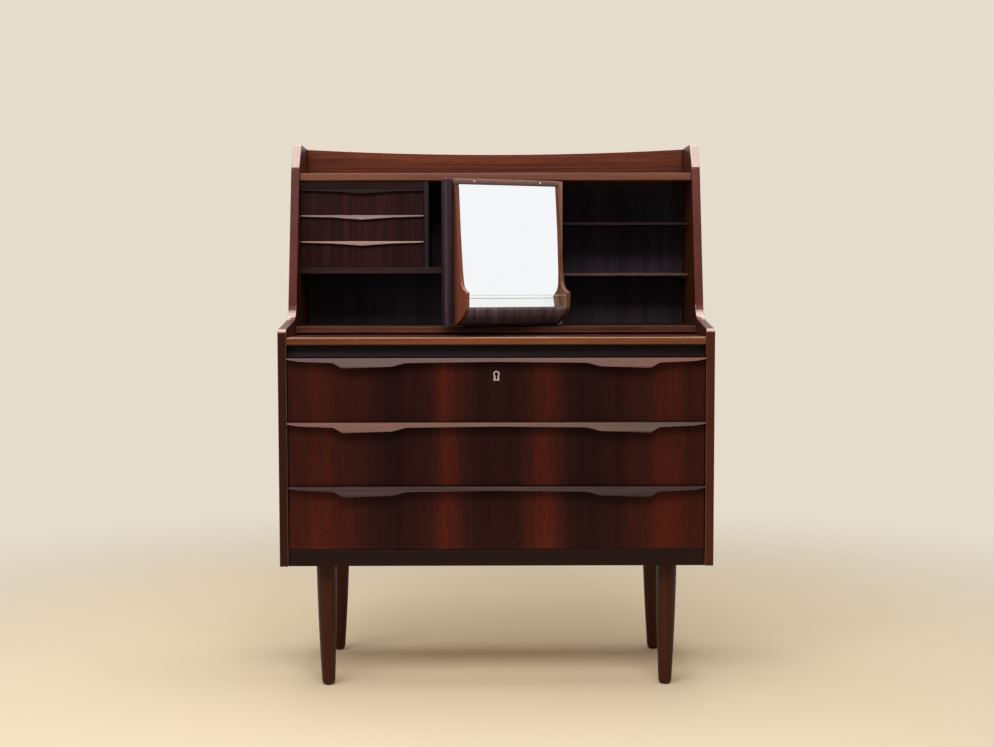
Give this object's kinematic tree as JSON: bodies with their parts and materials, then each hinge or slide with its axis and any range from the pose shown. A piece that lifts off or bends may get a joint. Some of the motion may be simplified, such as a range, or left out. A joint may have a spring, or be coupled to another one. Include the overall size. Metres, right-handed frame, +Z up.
{
  "type": "secretaire",
  "caption": "Writing chest on turned legs: wide lip-pull drawers, a pull-out writing leaf and a winged hutch with small drawers, shelves and a swing-out mirror unit.",
  "frame": {"origin": "on the floor, under the middle of the whole piece", "axes": "+X to the right of someone facing it, +Y to the back, +Z up; the front faces -Y"},
  "size_m": [0.91, 0.424, 1.1709],
  "materials": {
    "rosewood": "oiled rosewood veneer",
    "dark_rosewood": "shaded rosewood",
    "warm_rosewood": "rosewood leaf with a lighter solid edge",
    "lip_rosewood": "solid rosewood with a pale sheen",
    "inner_wood": "plain light wood inside",
    "bright_metal": "polished",
    "brass": "plain",
    "steel": "plain",
    "silvered_glass": "silvered",
    "clear_glass": "polished"
  },
  "bodies": {
    "case": {"side_panel_left": "rosewood", "side_panel_right": "rosewood", "bottom_board": "inner_wood", "bottom_front_rail": "dark_rosewood", "leaf_cross_rail": "dark_rosewood", "hutch_base_board": "rosewood", "top_shelf": "rosewood", "gallery_rail": "rosewood", "back_panel_lower": "inner_wood", "back_panel_upper": "inner_wood", "partitions": "dark_rosewood", "middle_shelf": "rosewood", "nest_side_board": "rosewood", "nest_top_rail": "rosewood", "runners": "inner_wood", "thin_shelves": "rosewood", "shelf_pins": "brass", "strike_plate": "brass", "hinge_case_leaves": "brass", "leg_front_left": "rosewood", "leg_front_right": "rosewood", "leg_rear_left": "rosewood", "leg_rear_right": "rosewood", "leg_plates": "steel"},
    "leaf": {"writing_leaf": "warm_rosewood", "leaf_stop_batten": "inner_wood"},
    "drawer_bottom": {"drawer_bottom_front": "rosewood", "drawer_bottom_lip": "lip_rosewood", "drawer_bottom_box": "inner_wood"},
    "drawer_middle": {"drawer_middle_front": "rosewood", "drawer_middle_lip": "lip_rosewood", "drawer_middle_box": "inner_wood"},
    "drawer_top": {"drawer_top_front": "rosewood", "drawer_top_lip": "lip_rosewood", "drawer_top_box": "inner_wood", "lock_case": "brass", "escutcheon": "bright_metal"},
    "lock_bolt_body": {"lock_bolt": "steel"},
    "small_drawer_bottom": {"small_bottom_front": "rosewood", "small_bottom_lip": "lip_rosewood", "small_bottom_box": "inner_wood"},
    "small_drawer_middle": {"small_middle_front": "rosewood", "small_middle_lip": "lip_rosewood", "small_middle_box": "inner_wood"},
    "small_drawer_top": {"small_top_front": "rosewood", "small_top_lip": "lip_rosewood", "small_top_box": "inner_wood"},
    "mirror_unit": {"hinge_door_leaves": "brass", "mirror_front_board": "dark_rosewood", "mirror_grip_stile": "rosewood", "mirror_hinge_stile": "rosewood", "mirror_frame_rails": "dark_rosewood", "mirror_cheek_left": "rosewood", "mirror_cheek_right": "rosewood", "mirror_head_rail": "rosewood", "mirror_head_pins": "bright_metal", "mirror_pane": "silvered_glass", "tray_floor": "dark_rosewood", "tray_front": "dark_rosewood", "tray_glass": "clear_glass"}
  },
  "joints": [
    {"name": "leaf_slide", "type": "slide", "parent": "case", "child": "leaf", "axis": [0, -1, 0], "range_m": [0, 0.28]},
    {"name": "drawer_bottom_slide", "type": "slide", "parent": "case", "child": "drawer_bottom", "axis": [0, 1, 0], "range_m": [-0.3, 0]},
    {"name": "drawer_middle_slide", "type": "slide", "parent": "case", "child": "drawer_middle", "axis": [0, 1, 0], "range_m": [-0.3, 0]},
    {"name": "drawer_top_slide", "type": "slide", "parent": "case", "child": "drawer_top", "axis": [0, 1, 0], "range_m": [-0.3, 0]},
    {"name": "lock_bolt_slide", "type": "slide", "parent": "drawer_top", "child": "lock_bolt_body", "axis": [0, 0, 1], "range_m": [0, 0.008]},
    {"name": "small_drawer_bottom_slide", "type": "slide", "parent": "case", "child": "small_drawer_bottom", "axis": [0, 1, 0], "range_m": [-0.11, 0]},
    {"name": "small_drawer_middle_slide", "type": "slide", "parent": "case", "child": "small_drawer_middle", "axis": [0, 1, 0], "range_m": [-0.11, 0]},
    {"name": "small_drawer_top_slide", "type": "slide", "parent": "case", "child": "small_drawer_top", "axis": [0, 1, 0], "range_m": [-0.11, 0]},
    {"name": "mirror_hinge", "type": "hinge", "parent": "case", "child": "mirror_unit", "pos_m": [0.1233, 0.0436, 0.926], "axis": [0, 0, 1], "range_deg": [-22, 68]}
  ]
}
